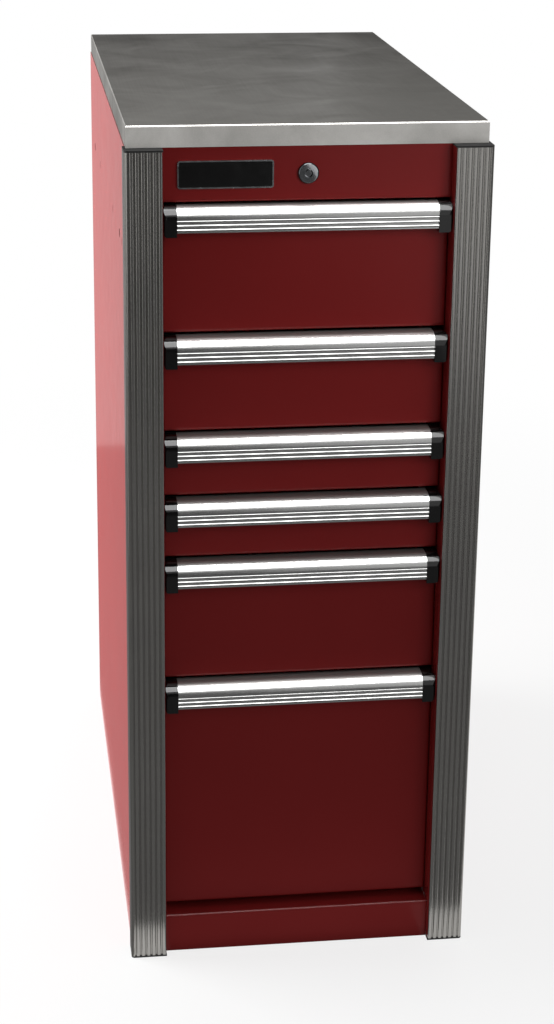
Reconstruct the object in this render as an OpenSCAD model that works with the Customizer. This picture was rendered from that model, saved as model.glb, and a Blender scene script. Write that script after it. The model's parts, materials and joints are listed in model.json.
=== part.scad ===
// Tool chest side cabinet
// A tall, narrow cabinet of folded steel with six drawers on full-extension slides, fluted
// aluminium corner trims, extruded drawer pulls, a stainless worktop and a key lock that
// moves a bar behind the drawers.
// The front faces -Y, the floor is Z = 0 and the origin is the centre of the footprint.

/* [Cabinet] */
// Width over the corner trims
overall_w = 419; // [400:1:450]
// Depth from the face of the trims to the back
overall_d = 762; // [640:1:820]
// Height from the floor to the face of the worktop
overall_h = 1043; // [980:1:1120]
// Thickness of the carcass sheet
panel_t = 1.2; // [0.8:0.1:1.6]
// Width of the flanges that join the carcass panels
flange_w = 16; // [13:1:22]
// Outside radius of the bends that show
bend_r = 3; // [2.2:0.1:4.5]
// Gap between pieces that are fitted together
fit_gap = 0.3; // [0.2:0.05:0.5]

/* [Worktop] */
// Height of the folded edge of the worktop
lip_h = 25; // [18:0.5:32]
// Thickness of the stainless sheet
worktop_t = 1.2; // [0.8:0.1:1.8]
// Outside radius of the top edges of the worktop
worktop_r = 2; // [2:0.1:5]
// Distance of the worktop's front behind the face of the trims
worktop_set = 18; // [14:0.5:19.5]
// Distance of the worktop's sides inside the trims
worktop_inset = 3; // [2.5:0.1:8]

/* [Corner trims] */
// Width of the front leg of a trim
trim_w = 43.2; // [40:0.1:48]
// Depth of the side leg of a trim
trim_side_w = 31; // [24:0.5:34]
// Wall thickness of a trim
trim_t = 2; // [1.6:0.1:3]
// Height of the flutes above the wall
rib_h = 1.4; // [0.6:0.1:1.6]
// Width of the flat top of a flute
rib_w = 4.7; // [3:0.1:7]
// Width of the groove between two flutes
groove_w = 1.8; // [0.8:0.1:2.5]
// Radius of the flutes' edges
rib_r = 1.3; // [0.4:0.1:1.4]
// Radius of the outer corner of a trim
trim_r = 4; // [2:0.1:5]
// Thickness of the plastic caps on the ends of the corner posts
end_cap_t = 2; // [1.8:0.1:4]
// Strip of the corner post that shows beside its trim
post_reveal = 0.8; // [0.2:0.1:3]
// Depth of the inner return of a corner post
post_d = 75; // [55:1:100]

/* [Header and kick panel] */
// Height of the fixed header above the drawers
header_h = 63; // [52:0.5:80]
// Distance of the header behind the face of the trims
header_set = 20; // [20:0.5:26]
// Height of the kick panel
kick_h = 50; // [40:0.5:70]
// Distance of the kick panel behind the face of the trims
kick_set = 12; // [6:0.5:20]
// Depth of the ledge on top of the kick panel
kick_ledge = 45; // [30:1:60]

/* [Drawers] */
// Height step of the drawers
drawer_unit_h = 78.4; // [77:0.1:82]
// Gap between two drawer fronts
face_gap = 3; // [3:0.1:5]
// Gap between the lowest drawer front and the kick panel
kick_gap = 8; // [6:0.5:16]
// Distance of the drawer fronts behind the face of the trims
face_set = 28; // [24:0.5:34]
// Gap beside a drawer front
face_side_gap = 0.8; // [0.6:0.1:2.5]
// Outside radius of the bends along the upper and lower edges of a drawer front
face_r = 4.5; // [3:0.1:6]
// Outside radius of the bends at the sides of a drawer front
face_side_r = 2; // [1.6:0.1:4]
// Depth of the folded edges of a drawer front
face_return = 14; // [10:0.5:20]
// Thickness of a drawer front's sheet
face_t = 1.2; // [0.8:0.1:1.6]
// Thickness of a drawer box's sheet
box_t = 1; // [0.7:0.1:1.5]
// Height of a drawer box's floor above the lower edge of its front
box_lift = 6; // [3:0.5:7]
// Drop of a drawer box's rim below the upper edge of its front
box_drop = 18; // [14:0.5:19]
// Height of the folded hem along the sides of a drawer box
hem_h = 8; // [5:0.5:12]
// Room behind the drawer boxes for the lock bar
rear_room = 56; // [50:1:80]

/* [Drawer pulls] */
// Height of the aluminium pull
handle_h = 30; // [29:0.5:36]
// Reach of the pull in front of the drawer front
handle_reach = 22; // [20:0.5:25]
// Radius of the round nose along the top of the pull
nose_r = 14; // [11:0.5:15]
// Distance of the beaded grip behind the front of the nose
nose_step = 2; // [1.6:0.1:2.2]
// Wall thickness of the pull
handle_t = 2.6; // [2.4:0.1:3.2]
// Depth of the pull's top over the upper edge of the drawer front
handle_hook = 7; // [5:0.5:10]
// Height of the tab that holds the pull on the drawer front
handle_tab = 13; // [10:0.5:16]
// Radius of the three beads along the grip
bead_r = 1.5; // [1:0.1:1.6]
// Distance between the beads
bead_pitch = 5.1; // [4:0.1:5.4]
// Gap between a pull's end and the corner post
handle_end_gap = 0.8; // [0.8:0.1:3]
// Width of the plastic end cap of a pull
cap_w = 15; // [12:0.5:20]
// How far an end cap stands proud of the aluminium
cap_over = 0.5; // [0.2:0.1:1]
// How far an end cap hangs below the aluminium
cap_drop = 4.5; // [2:0.1:6]
// Radius of an end cap's outer corners
cap_r = 4; // [2:0.1:6]
// Length of an end cap's tongue inside the pull
cap_tongue = 8; // [5:0.5:14]

/* [Slides] */
// Height of a slide
slide_h = 45; // [40:0.5:45.5]
// Thickness of a slide
slide_t = 12.7; // [11:0.1:14]
// Sheet thickness of a slide's members
member_t = 1.2; // [1:0.1:1.5]
// Running gap between the members of a slide
slide_gap = 0.35; // [0.3:0.05:0.6]
// Outside radius of a slide's rolled edges
slide_r = 3; // [1.8:0.1:3]
// Height of a slide above the floor of its drawer box
slide_lift = 2; // [1:0.1:3]
// Distance of a slide's ends from the ends of the drawer box
slide_inset = 4; // [2:0.5:8]
// Width of the rear uprights that carry the slides
upright_w = 50; // [35:1:60]

/* [Lock] */
// Diameter of the lock's bezel
bezel_d = 24; // [21:0.5:28]
// Height of the bezel in front of the header
bezel_h = 4; // [2.5:0.1:6]
// Diameter of the lock's barrel
barrel_d = 19; // [17:0.5:20]
// Length of the barrel behind the header's face
barrel_len = 22; // [18:0.5:28]
// Diameter of the turning plug
plug_d = 13; // [11:0.1:14]
// Running clearance of the plug and the rod, on the radius
turn_gap = 0.1; // [0.05:0.01:0.15]
// Outer diameter of the round key slot
key_d = 9.6; // [8:0.1:10]
// Diameter of the core inside the key slot
key_core_d = 6.8; // [5:0.1:7.2]
// Depth of the key slot
key_depth = 7; // [4:0.5:12]
// Width of the notch for the key
key_notch_w = 2; // [1.2:0.1:3]
// Width of the lock nut over its flats
nut_flats_w = 27; // [24:0.5:32]
// Thickness of the lock nut
nut_t = 4; // [3:0.5:6]
// Diameter of the rod that runs to the back
rod_d = 8; // [6:0.5:10]
// Diameter of the socket that joins the rod to the plug
socket_d = 17; // [15.5:0.5:20]
// Depth of the plug in the socket
socket_depth = 4; // [3:0.5:8]
// Length of the socket piece
socket_len = 12; // [10:0.5:20]
// Radius of the crank at the rear end of the rod
crank_r = 8; // [6.5:0.1:9]
// Thickness of the crank
crank_t = 4; // [3:0.5:5]
// Diameter of the crank pin
pin_d = 5; // [4:0.1:6]
// Clearance of the crank pin in the slot of the lock bar
pin_gap = 0.4; // [0.35:0.05:0.7]
// Width of the bracket that carries the rod
bracket_w = 32; // [26:1:48]
// Sheet thickness of the rod's bracket and the bar's guides
bracket_t = 2; // [1.5:0.1:3]
// Width of the lock bar
bar_w = 36; // [34:1:48]
// Thickness of the lock bar
bar_t = 3; // [2:0.1:4]
// Metal left round the ends of the lock bar
bar_edge = 6; // [4:0.5:8]
// Diameter of the studs that carry the lock bar
stud_d = 8; // [6:0.5:9]
// Diameter of the heads of the studs
stud_head_d = 16; // [13:0.5:20]
// Thickness of the heads of the studs
stud_head_t = 2; // [1.5:0.1:3]
// Height of the guides behind the lock bar
guide_h = 30; // [20:1:40]
// Width of the guides
guide_w = 44; // [36:1:60]
// Width of a guide's feet on the back panel
guide_foot_w = 12; // [8:0.5:20]
// Depth of the catch on the back of a drawer box
catch_d = 16; // [14:0.5:19]
// Height of the catch
catch_h = 28; // [26:1:36]
// Thickness of a hook of the lock bar
hook_t = 3; // [2:0.1:3.5]
// Height of a hook
hook_h = 12; // [8:0.5:14]
// Gap round a hook
hook_gap = 2; // [1.5:0.1:3]

/* [Badge] */
// Width of the badge
badge_w = 109; // [80:1:115]
// Height of the badge
badge_h = 32; // [22:0.5:40]
// Thickness of the badge's frame
badge_t = 2.5; // [1.5:0.1:4]
// Width of the badge's frame
badge_rim = 1.6; // [1:0.1:3]
// Distance of the badge's centre from the lock
badge_x = 94; // [80:0.2:95]

/* [Side mounting holes] */
// Diameter of the two mounting holes in the left side
mount_d = 11; // [8:0.5:14]
// Depth of the row of holes below the top of the side
mount_drop = 120; // [90:1:160]
// Distance of the front mounting hole behind the face of the trims
mount_front = 122; // [110:1:150]
// Distance of the rear mounting hole from the back
mount_rear = 100; // [70:1:140]
// Width of the three hook slots between and beside the holes
slot_w = 4; // [3:0.5:6]
// Height of the hook slots
slot_h = 10; // [8:0.5:14]

/* [Hidden] */
$fn = 48;
// Overlap that carries a cut past the face it opens
past = 1;

// Planes and half widths of the carcass
front_y = -overall_d / 2;
back_y = overall_d / 2;
back_inner_y = back_y - 2 * panel_t;
carcass_top = overall_h - lip_h;
side_x = overall_w / 2 - trim_t;
trim_x = overall_w / 2 - trim_w;
open_x = trim_x - post_reveal;
panel_x = open_x - fit_gap;
post_y = front_y + rib_h + trim_t;
post_back_y = post_y + post_d;
cap_back_y = front_y + trim_side_w;
header_y = front_y + header_set;
header_z = carcass_top - header_h;
header_back_y = max(header_y + flange_w, cap_back_y + fit_gap);
kick_y = front_y + kick_set;
worktop_x = overall_w / 2 - worktop_inset;
worktop_y = front_y + worktop_set;

// Drawers, counted from the top. The lowest one takes the height that is left.
upper_units = [1.97, 1.52, 1.02, 0.99, 2];
drawers = len(upper_units) + 1;
face_y = front_y + face_set;
face_x = open_x - face_side_gap;
box_x = open_x - slide_t;
box_front_y = face_y + face_t;
box_back_y = back_y - rear_room;
slide_front_y = face_y + face_return + slide_inset;
slide_back_y = box_back_y - slide_inset;
function units_above(i) = i == 0 ? 0 : units_above(i - 1) + upper_units[i - 1];
function face_top(i) = header_z - face_gap - drawer_unit_h * units_above(i);
function face_bottom(i) = i < drawers - 1 ? face_top(i + 1) + face_gap : kick_h + kick_gap;
function box_top(i) = face_top(i) - box_drop;
function box_bottom(i) = face_bottom(i) + box_lift;

// Drawer pulls
handle_x = open_x - handle_end_gap;
pull_x = handle_x - cap_w;
nose_y = face_y - handle_reach + nose_r;
grip_y = face_y - handle_reach + nose_step;

// Lock. The crank pin stands 45 degrees left of the rod's top at rest and 45 degrees right of
// it when the key has made its quarter turn, which pushes the bar to the right by bar_travel.
lock_z = header_z + header_h / 2;
crank_side = crank_r * sin(45);
bar_travel = 2 * crank_side;
bar_x = -crank_side;
bar_y = box_back_y + catch_d + hook_gap;
bar_back_y = bar_y + bar_t;
bar_top = lock_z + crank_r + pin_d / 2 + pin_gap + bar_edge;
bar_bottom = box_top(drawers - 1) - catch_h - bar_edge;
crank_y = bar_y - crank_t - hook_gap;
hook_len = bar_travel + hook_t;
hook_root = bar_x - hook_len / 2;
hook_tip = bar_x + hook_len / 2;
hook_y = box_back_y + (catch_d - hook_t) / 2;
catch_x = hook_tip + hook_gap;
guide_levels = [
    (box_top(drawers - 1) + box_top(drawers - 2)) / 2,
    (box_top(0) + box_top(1)) / 2
];

// Finishes
paint = "#5c1b1a";
stainless = "#8e8c87";
satin_alloy = "#8a8884";
bright_alloy = "#d4d4d2";
black_plastic = "#191919";
chrome = "#c4c6c8";
zinc = "#9fa2a3";
board = "#a98d62";

carcass_nodes = [
    "side_panel_left", "side_panel_right", "back_panel", "base_pan", "kick_panel",
    "header_panel", "top_panel", "worktop", "worktop_core", "corner_trim_left",
    "corner_trim_right", "trim_end_caps", "slide_upright_left", "slide_upright_right",
    "slide_outers", "badge_plate", "badge_frame"
];
lock_nodes = [
    "lock_housing", "lock_nut", "lock_rod_bracket", "lock_bar_guides",
    "lock_plug", "lock_rod", "lock_bar"
];
drawer_pieces = ["box", "front", "handle", "handle_caps", "slide_inner", "slide_mid"];
function drawer_node(i, piece) = str("drawer_", i + 1, "_", piece);
drawer_nodes = [for (i = [0 : drawers - 1]) for (piece = drawer_pieces) drawer_node(i, piece)];

// Shared shapes

// Rectangle between two corners
module rect(x0, x1, y0, y1) {
    translate([x0, y0])
        square([x1 - x0, y1 - y0]);
}

// Rectangle with some corners rounded. A corner is [0 or 1, 0 or 1] for low or high x and y.
module rounded(x0, x1, y0, y1, r, corners) {
    difference() {
        rect(x0, x1, y0, y1);
        for (c = r > 0 ? corners : [])
            translate([c.x == 0 ? x0 : x1, c.y == 0 ? y0 : y1])
                mirror([c.x, 0])
                    mirror([0, c.y])
                        difference() {
                            rect(-past, r, -past, r);
                            translate([r, r])
                                circle(r);
                        }
    }
}

// Rectangle with four round corners about the origin
module plate_outline(w, h, r) {
    rounded(-w / 2, w / 2, -h / 2, h / 2, r, [[0, 0], [0, 1], [1, 0], [1, 1]]);
}

// Box between two corners
module block(x0, x1, y0, y1, z0, z1) {
    translate([x0, y0, z0])
        cube([x1 - x0, y1 - y0, z1 - z0]);
}

// A profile in Y and Z drawn out along X, centred
module along_x(length) {
    rotate([90, 0, 90])
        linear_extrude(length, center = true)
            children();
}

// A profile in X and Z drawn out along Y
module along_y(y0, y1) {
    translate([0, y1, 0])
        rotate([90, 0, 0])
            linear_extrude(y1 - y0)
                children();
}

// A profile in X and Y drawn out along Z
module along_z(z0, z1) {
    translate([0, 0, z0])
        linear_extrude(z1 - z0)
            children();
}

// The shape and its mirror image across the middle of the cabinet
module both_sides() {
    children();
    mirror([1, 0, 0])
        children();
}

// A shape about Z laid along the lock's axis, with Z towards the back
module on_lock_axis(y) {
    translate([0, y, lock_z])
        rotate([-90, 0, 0])
            children();
}

// Carcass

// Folded side panel of the right side: the wall, the corner post in front and the rear flange
module side_shell() {
    difference() {
        union() {
            block(side_x - panel_t, side_x, post_y, back_y, 0, carcass_top);
            block(side_x - flange_w, side_x, back_y - panel_t, back_y, 0, carcass_top);
            along_z(end_cap_t, carcass_top - end_cap_t)
                post_section();
        }
        for (z = [-past, carcass_top - end_cap_t])
            block(open_x - past, side_x + past, front_y, cap_back_y, z, z + end_cap_t + past);
    }
}

// Front wall and inner return of a corner post
module post_section() {
    difference() {
        rounded(open_x, side_x, post_y, post_back_y, bend_r, [[0, 0]]);
        rounded(open_x + panel_t, side_x - panel_t, post_y + panel_t, post_back_y + past,
            bend_r - panel_t, [[0, 0]]);
    }
}

// Mounting holes and hook slots through the left side, in one level row
module side_holes() {
    front_hole = front_y + mount_front;
    rear_hole = back_y - mount_rear;
    span = rear_hole - front_hole;
    slots = [front_hole - 4 * mount_d, front_hole + 0.24 * span, rear_hole - 0.24 * span];
    translate([-side_x - past, 0, carcass_top - mount_drop])
        rotate([90, 0, 90]) {
            for (y = [front_hole, rear_hole])
                translate([y, 0, 0])
                    cylinder(d = mount_d, h = panel_t + 2 * past);
            for (y = slots)
                translate([y, 0, 0])
                    linear_extrude(panel_t + 2 * past)
                        plate_outline(slot_w, slot_h, 0.49 * slot_w);
        }
}

module side_panel_left() {
    color(paint)
        difference() {
            mirror([1, 0, 0])
                side_shell();
            side_holes();
        }
}

module side_panel_right() {
    color(paint)
        side_shell();
}

module back_panel() {
    half_w = side_x - panel_t - fit_gap;
    color(paint)
        block(-half_w, half_w, back_inner_y, back_y - panel_t, 0, carcass_top);
}

// Floor of the carcass, with flanges turned down along the sides and the back
module base_pan() {
    floor_z = kick_h - 2 * panel_t;
    half_w = side_x - panel_t;
    wide_y = post_back_y + fit_gap;
    color(paint) {
        block(-panel_x, panel_x, kick_y + flange_w + fit_gap, wide_y, floor_z, floor_z + panel_t);
        block(-half_w, half_w, wide_y, back_inner_y, floor_z, floor_z + panel_t);
        both_sides()
            block(half_w - panel_t, half_w, wide_y, back_inner_y, floor_z - flange_w, floor_z);
        block(-half_w, half_w, back_inner_y - panel_t, back_inner_y, floor_z - flange_w, floor_z);
    }
}

// Kick panel: the face, a ledge over the floor and a return along the ground
module kick_panel() {
    color(paint) {
        along_x(2 * panel_x)
            difference() {
                rounded(kick_y, kick_y + kick_ledge, 0, kick_h, bend_r, [[0, 1]]);
                rounded(kick_y + panel_t, kick_y + kick_ledge + past, panel_t, kick_h - panel_t,
                    bend_r - panel_t, [[0, 1]]);
                rect(kick_y + flange_w, kick_y + kick_ledge + past, -past, panel_t + past);
            }
        both_sides()
            block(panel_x - panel_t, panel_x, kick_y + panel_t, kick_y + flange_w,
                panel_t, kick_h - 2 * panel_t);
    }
}

// Fixed header: a channel with closed ends, bored for the lock
module header_panel() {
    color(paint)
        difference() {
            union() {
                along_x(2 * panel_x)
                    difference() {
                        rounded(header_y, header_back_y, header_z, carcass_top, bend_r, [[0, 0]]);
                        rounded(header_y + panel_t, header_back_y + past, header_z + panel_t,
                            carcass_top - panel_t, bend_r - panel_t, [[0, 0]]);
                    }
                both_sides()
                    block(panel_x - panel_t, panel_x, header_y + panel_t, header_back_y,
                        header_z + panel_t, carcass_top - panel_t);
            }
            on_lock_axis(header_y - past)
                cylinder(d = barrel_d + 2 * fit_gap, h = bend_r + panel_t + 2 * past);
        }
}

// Top of the carcass, with flanges turned down along the sides
module top_panel() {
    half_w = side_x - panel_t;
    front = header_back_y + fit_gap;
    color(paint) {
        block(-half_w, half_w, front, back_inner_y, carcass_top - panel_t, carcass_top);
        both_sides()
            block(half_w - panel_t, half_w, front, back_inner_y,
                carcass_top - panel_t - flange_w, carcass_top - panel_t);
    }
}

// Stainless skin of the worktop, folded down on four sides
module worktop() {
    color(stainless)
        difference() {
            worktop_body(0, worktop_r, carcass_top);
            worktop_body(worktop_t, worktop_r - worktop_t, carcass_top - past);
        }
}

// Block of the worktop's outline, drawn in on all faces but the lowest
module worktop_body(inset, r, z0) {
    x = worktop_x - inset;
    y0 = worktop_y + inset;
    y1 = back_y - inset;
    z1 = overall_h - inset;
    upper = [[0, 1], [1, 1]];
    if (r > 0)
        intersection() {
            along_x(2 * x)
                rounded(y0, y1, z0, z1, r, upper);
            along_y(y0, y1)
                rounded(-x, x, z0, z1, r, upper);
        }
    else
        block(-x, x, y0, y1, z0, z1);
}

// Board that fills the worktop
module worktop_core() {
    x = worktop_x - worktop_t - worktop_r;
    color(board)
        block(-x, x, worktop_y + worktop_t + worktop_r, back_y - worktop_t - worktop_r,
            carcass_top, overall_h - worktop_t);
}

// Corner trims

// Section of the right trim: a fluted front leg and a grooved side leg round the post
module trim_section() {
    outer = overall_w / 2;
    pitch = rib_w + groove_w;
    ribs = floor((trim_w - trim_r) / pitch);
    side_grooves = floor((trim_side_w - trim_r - rib_w) / pitch);
    difference() {
        rounded(trim_x, outer, front_y, cap_back_y, trim_r, [[1, 0]]);
        rect(trim_x - past, side_x, post_y, cap_back_y + past);
        rect(trim_x - past, trim_x + ribs * pitch, front_y - past, front_y + rib_h);
        for (k = [0 : side_grooves])
            rect(outer - trim_t / 3, outer + past,
                front_y + trim_r + k * pitch, front_y + trim_r + k * pitch + groove_w);
    }
    for (k = [0 : ribs - 1])
        rounded(trim_x + k * pitch, trim_x + k * pitch + rib_w, front_y, post_y,
            rib_r, [[0, 0], [1, 0]]);
}

module corner_trim() {
    color(satin_alloy)
        along_z(end_cap_t, carcass_top - end_cap_t)
            trim_section();
}

module corner_trim_left() {
    mirror([1, 0, 0])
        corner_trim();
}

module corner_trim_right() {
    corner_trim();
}

// Plastic caps on the two ends of each corner post
module trim_end_caps() {
    color(black_plastic)
        both_sides()
            for (z = [0, carcass_top - end_cap_t])
                along_z(z, z + end_cap_t)
                    rounded(open_x, overall_w / 2, front_y, cap_back_y, trim_r, [[1, 0]]);
}

// Slides

// Channel section in X and Z with its web at x_web, its edges at x_edge and its web's corners
// rounded
module channel(x_web, x_edge, z0, z1, r) {
    side = x_web > x_edge ? 1 : 0;
    web_corners = [[side, 0], [side, 1]];
    inner_r = r - member_t;
    difference() {
        rounded(min(x_web, x_edge), max(x_web, x_edge), z0, z1, r, web_corners);
        if (side == 1)
            rounded(x_edge - past, x_web - member_t, z0 + member_t, z1 - member_t,
                inner_r, web_corners);
        else
            rounded(x_web + member_t, x_edge + past, z0 + member_t, z1 - member_t,
                inner_r, web_corners);
    }
}

// One member of both slides of drawer i. Member 0 is on the carcass, 1 between, 2 on the drawer.
module slide_member(i, member) {
    step = member_t + slide_gap;
    z0 = box_bottom(i) + slide_lift + member * step;
    z1 = box_bottom(i) + slide_lift + slide_h - member * step;
    color(zinc)
        both_sides()
            along_y(slide_front_y, slide_back_y)
                if (member < 2)
                    channel(open_x - member * step, box_x + step, z0, z1, slide_r - member * step);
                else
                    channel(box_x, open_x - 2 * step, z0, z1, slide_r - step);
}

module slide_outers() {
    for (i = [0 : drawers - 1])
        slide_member(i, 0);
}

// Rear upright on the right side, a channel that carries the slides
module slide_upright() {
    color(zinc)
        along_z(kick_h - panel_t, carcass_top - panel_t - flange_w - fit_gap)
            difference() {
                rect(open_x, side_x - panel_t, slide_back_y - upright_w, slide_back_y);
                rect(open_x + panel_t, side_x, slide_back_y - upright_w + panel_t,
                    slide_back_y - panel_t);
            }
}

module slide_upright_left() {
    mirror([1, 0, 0])
        slide_upright();
}

module slide_upright_right() {
    slide_upright();
}

// Drawers

// Open box of folded sheet, with hemmed sides and a slotted catch on the back for the lock bar
module drawer_box(i) {
    z0 = box_bottom(i);
    z1 = box_top(i);
    inner_x = box_x - box_t;
    lower = [[0, 0], [1, 0]];
    catch_z = z1 - catch_h / 2;
    slot_half = hook_h / 2 + hook_gap;
    color(paint)
        difference() {
            union() {
                difference() {
                    along_y(box_front_y, box_back_y)
                        rounded(-box_x, box_x, z0, z1, bend_r, lower);
                    along_y(box_front_y + box_t, box_back_y - box_t)
                        rounded(-inner_x, inner_x, z0 + box_t, z1 + past, bend_r - box_t, lower);
                }
                both_sides()
                    block(inner_x - box_t, inner_x, box_front_y, box_back_y, z1 - hem_h, z1);
                block(catch_x, catch_x + box_t, box_back_y - box_t, box_back_y + catch_d,
                    z1 - catch_h, z1);
            }
            block(catch_x - past, catch_x + box_t + past, hook_y - hook_gap,
                hook_y + hook_t + hook_gap, catch_z - slot_half, catch_z + slot_half);
        }
}

// Drawer front: a pan with rounded front edges
module drawer_front(i) {
    color(paint)
        difference() {
            front_body(i, 0, 0);
            front_body(i, face_t, past);
        }
}

// Block of a drawer front's outline, drawn in by the sheet and lengthened to the back
module front_body(i, inset, longer) {
    x = face_x - inset;
    y0 = face_y + inset;
    y1 = face_y + face_return + longer;
    z0 = face_bottom(i) + inset;
    z1 = face_top(i) - handle_t - fit_gap - inset;
    intersection() {
        along_x(2 * x)
            rounded(y0, y1, z0, z1, face_r - inset, [[0, 0], [0, 1]]);
        along_z(z0, z1)
            rounded(-x, x, y0, y1, face_side_r - inset, [[0, 0], [1, 0]]);
    }
}

// Extruded pull: a quarter-round nose, a beaded grip below it, a tab on the drawer front and a
// top that hooks over the front's upper edge
module drawer_handle(i) {
    top = face_top(i);
    low = top - handle_h;
    color(bright_alloy)
        along_x(2 * pull_x) {
            difference() {
                nose_section(top, nose_r);
                translate([nose_y, top - nose_r])
                    circle(nose_r - handle_t);
            }
            rect(nose_y, face_y + handle_hook, top - handle_t, top);
            rect(face_y - handle_t, face_y, top - handle_tab, top);
            rect(grip_y, grip_y + handle_t, low, top - nose_r + handle_t);
            rect(grip_y, grip_y + 2 * handle_t, low, low + handle_t);
            for (k = [0 : 2])
                translate([grip_y, top - nose_r - (k + 0.5) * bead_pitch])
                    circle(bead_r);
        }
}

// Quarter disc over the upper front edge of a pull, in Y and Z
module nose_section(top, r) {
    intersection() {
        translate([nose_y, top - nose_r])
            circle(r);
        rect(nose_y - r, nose_y, top - nose_r, top - nose_r + r);
    }
}

// Plastic caps on both ends of a pull, each with a tongue inside it
module drawer_handle_caps(i) {
    top = face_top(i);
    low = top - handle_h - cap_drop;
    front = face_y - handle_reach - cap_over;
    back = face_y + handle_hook;
    color(black_plastic)
        both_sides() {
            intersection() {
                translate([handle_x - cap_w / 2, 0, 0])
                    along_x(cap_w)
                        cap_section(top, low);
                along_y(front - past, back)
                    rounded(pull_x, handle_x, low, top + cap_over, cap_r, [[1, 0], [1, 1]]);
                along_z(low, top + cap_over)
                    rounded(pull_x, handle_x, front, back, cap_r, [[1, 0]]);
            }
            block(pull_x - cap_tongue, pull_x, nose_y, face_y - handle_t - fit_gap,
                top - handle_tab, top - handle_t - fit_gap);
        }
}

// Side view of an end cap in Y and Z
module cap_section(top, low) {
    nose_section(top, nose_r + cap_over);
    rect(nose_y, face_y, top - nose_r, top + cap_over);
    rect(nose_y, face_y + handle_hook, top - handle_t, top + cap_over);
    rect(grip_y - nose_step + cap_over, face_y, low, top - nose_r);
}

// Lock

// Bezel and barrel, bored for the plug
module lock_housing() {
    color(chrome)
        difference() {
            union() {
                on_lock_axis(header_y - bezel_h)
                    rotate_extrude()
                        rounded(0, bezel_d / 2, 0, bezel_h, bezel_h / 2, [[1, 0]]);
                on_lock_axis(header_y - past)
                    cylinder(d = barrel_d, h = barrel_len + past);
            }
            on_lock_axis(header_y - bezel_h - past)
                cylinder(d = plug_d + 2 * turn_gap, h = bezel_h + barrel_len + 2 * past);
        }
}

// Hexagon nut that clamps the barrel to the header
module lock_nut() {
    color(zinc)
        on_lock_axis(header_y + panel_t)
            difference() {
                cylinder(d = nut_flats_w / cos(30), h = nut_t, $fn = 6);
                translate([0, 0, -past])
                    cylinder(d = barrel_d, h = nut_t + 2 * past);
            }
}

// Turning plug with a round key slot; its tail sits in the rod's socket
module lock_plug() {
    color(chrome)
        on_lock_axis(header_y - bezel_h + fit_gap)
            difference() {
                cylinder(d = plug_d, h = bezel_h + barrel_len + socket_depth);
                difference() {
                    translate([0, 0, -past])
                        cylinder(d = key_d, h = key_depth + past);
                    translate([0, 0, -2 * past])
                        cylinder(d = key_core_d, h = key_depth + 3 * past);
                }
                block(-key_notch_w / 2, key_notch_w / 2, -key_d / 2 - key_notch_w / 2,
                    -key_core_d / 2, -past, key_depth);
            }
}

// Rod from the plug to the back, with a socket in front and a crank behind
module lock_rod() {
    socket_y = header_y + barrel_len + fit_gap;
    color(zinc) {
        on_lock_axis(socket_y)
            difference() {
                cylinder(d = socket_d, h = socket_len);
                translate([0, 0, -past])
                    cylinder(d = plug_d + 2 * turn_gap, h = socket_depth + past);
            }
        on_lock_axis(socket_y + socket_depth + past)
            cylinder(d = rod_d, h = crank_y - socket_y - socket_depth);
        on_lock_axis(crank_y)
            cylinder(d = 2 * crank_r + 2 * pin_d, h = crank_t);
        translate([-crank_side, 0, crank_side])
            on_lock_axis(crank_y)
                cylinder(d = pin_d, h = bar_back_y + hook_gap - crank_y);
    }
}

// Bracket under the carcass top that carries the rear end of the rod
module lock_rod_bracket() {
    bracket_y = box_back_y - upright_w / 2;
    under = carcass_top - panel_t;
    color(zinc)
        difference() {
            union() {
                block(-bracket_w / 2, bracket_w / 2, bracket_y, bracket_y + bracket_t,
                    lock_z - rod_d, under);
                block(-bracket_w / 2, bracket_w / 2, bracket_y - flange_w, bracket_y + bracket_t,
                    under - bracket_t, under);
            }
            on_lock_axis(bracket_y - past)
                cylinder(d = rod_d + 2 * turn_gap, h = bracket_t + 2 * past);
        }
}

// Lock bar: a strip with an upright slot for the crank pin, level slots for the studs that
// carry it, and one hook beside each drawer's catch
module lock_bar() {
    pin_half = pin_d / 2 + pin_gap;
    stud_half = stud_d / 2 + fit_gap;
    color(zinc)
        difference() {
            union() {
                block(bar_x - bar_w / 2, bar_x + bar_w / 2, bar_y, bar_back_y, bar_bottom, bar_top);
                for (i = [0 : drawers - 1])
                    lock_hook(box_top(i) - catch_h / 2);
            }
            block(bar_x - pin_half, bar_x + pin_half, bar_y - past, bar_back_y + past,
                lock_z + crank_side - pin_half, lock_z + crank_r + pin_half);
            for (z = guide_levels)
                translate([bar_x, 0, z])
                    along_y(bar_y - past, bar_back_y + past)
                        plate_outline(bar_travel + 2 * stud_half + pin_gap, 2 * stud_half,
                            0.99 * stud_half);
        }
}

// Hook at the height given: an arm forward from the bar and a prong to the right
module lock_hook(z) {
    z0 = z - hook_h / 2;
    z1 = z + hook_h / 2;
    block(hook_root - hook_t, hook_root, hook_y, bar_back_y, z0, z1);
    block(hook_root - hook_t, hook_tip, hook_y, hook_y + hook_t, z0, z1);
}

// Two guides on the back panel, each with a headed stud through the lock bar
module lock_bar_guides() {
    guide_y = bar_back_y + pin_gap;
    head_y = bar_y - pin_gap - stud_head_t;
    color(zinc)
        for (z = guide_levels) {
            along_z(z - guide_h / 2, z + guide_h / 2)
                guide_section(guide_y);
            translate([0, head_y, z])
                rotate([-90, 0, 0]) {
                    cylinder(d = stud_head_d, h = stud_head_t);
                    cylinder(d = stud_d, h = guide_y + bracket_t - head_y);
                }
        }
}

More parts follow.
